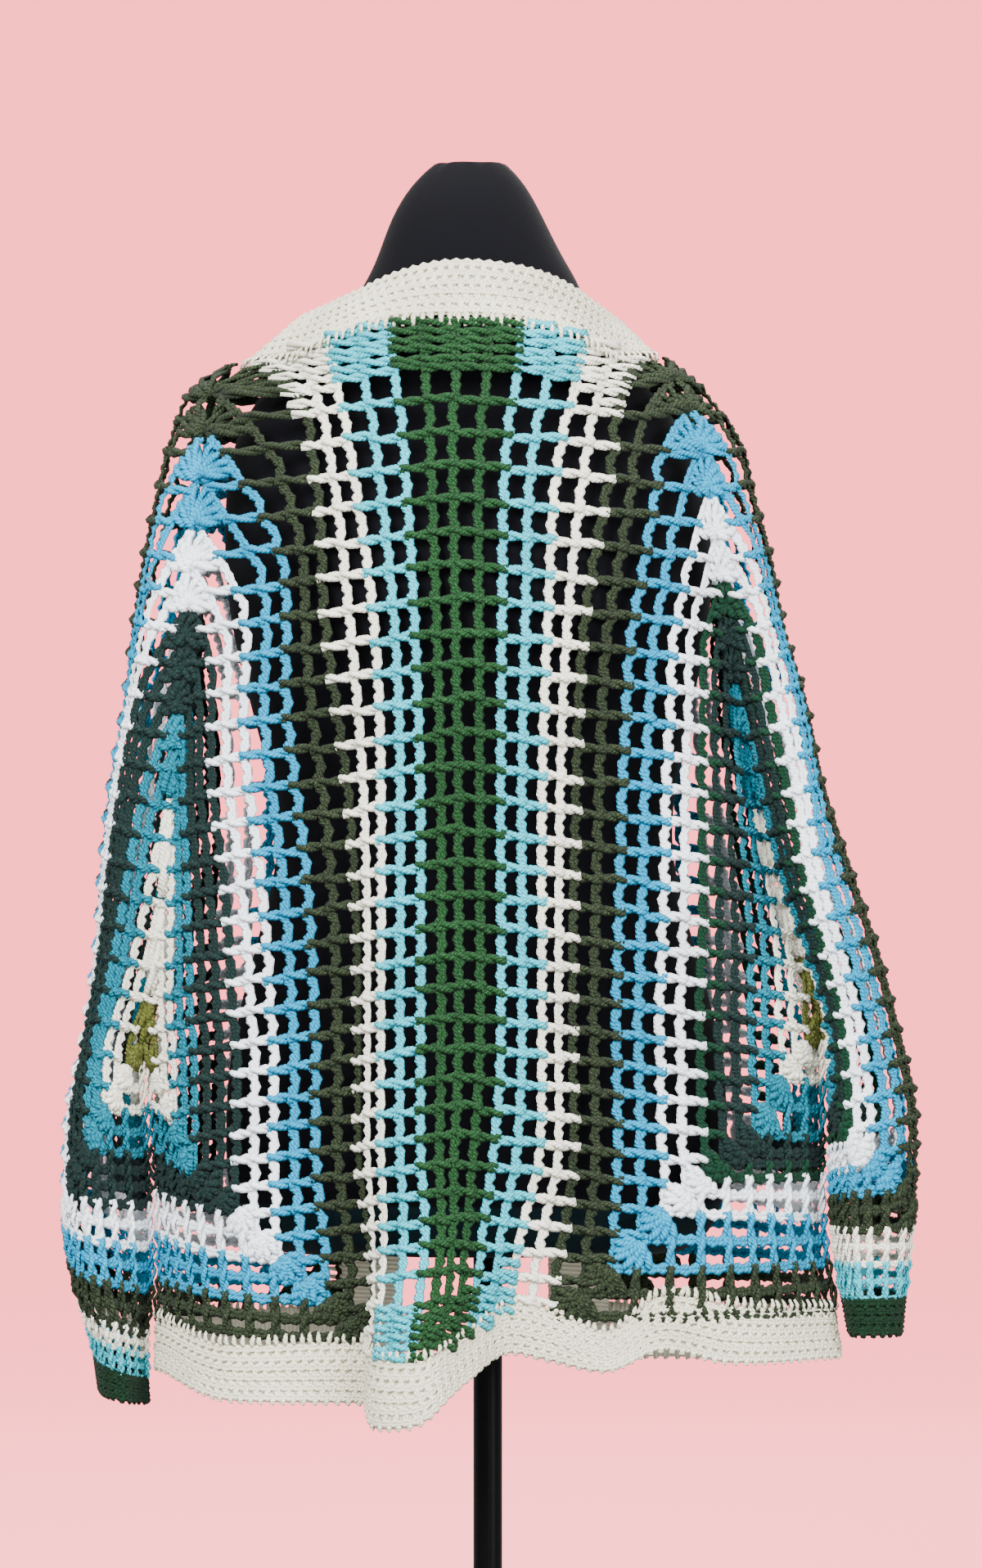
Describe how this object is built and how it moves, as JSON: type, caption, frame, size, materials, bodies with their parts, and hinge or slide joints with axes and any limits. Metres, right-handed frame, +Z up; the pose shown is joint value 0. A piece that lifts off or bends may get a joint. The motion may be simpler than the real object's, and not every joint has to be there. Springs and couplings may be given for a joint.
{
  "type": "crocheted mesh cardigan on a limbless dress form with a stand",
  "caption": "Open-front cardigan of crocheted filet mesh in coloured rounds, with long sleeves and dense neck, hem and cuff bands, worn by a limbless dress form on a pole and a round base.",
  "frame": {"origin": "on the floor under the stand's base, 2 mm from the middle of its underside, which the form's pole stands on", "axes": "+Z up, +X to the right of someone looking at the garment's back, +Y from its back to its open front"},
  "size_m": [0.529, 0.3093, 0.981],
  "materials": {
    "round_yarns": "two-ply acrylic or wool yarn in lime, cream, teal, dark green, white, bright blue and olive rounds, worked as filet mesh",
    "panel_yarns": "two-ply yarn in cream, light aqua and mid green rows, worked as filet mesh",
    "cuff_yarn": "dark green yarn in dense single crochet",
    "band_yarn": "cream yarn in dense single crochet",
    "form_cover": "near-black stretched knit cover, matt",
    "stand_metal": "black satin paint"
  },
  "bodies": {
    "root": {"hexagon_left_body": "round_yarns", "hexagon_left_sleeve": "round_yarns", "hexagon_right_body": "round_yarns", "hexagon_right_sleeve": "round_yarns", "centre_back_panel": "panel_yarns", "sleeve_rows_left": "panel_yarns", "sleeve_rows_right": "panel_yarns", "cuff_left": "cuff_yarn", "cuff_right": "cuff_yarn", "hem_band": "band_yarn", "collar_band": "band_yarn", "dress_form": "form_cover", "stand_pole": "stand_metal", "stand_base": "stand_metal"}
  },
  "joints": []
}
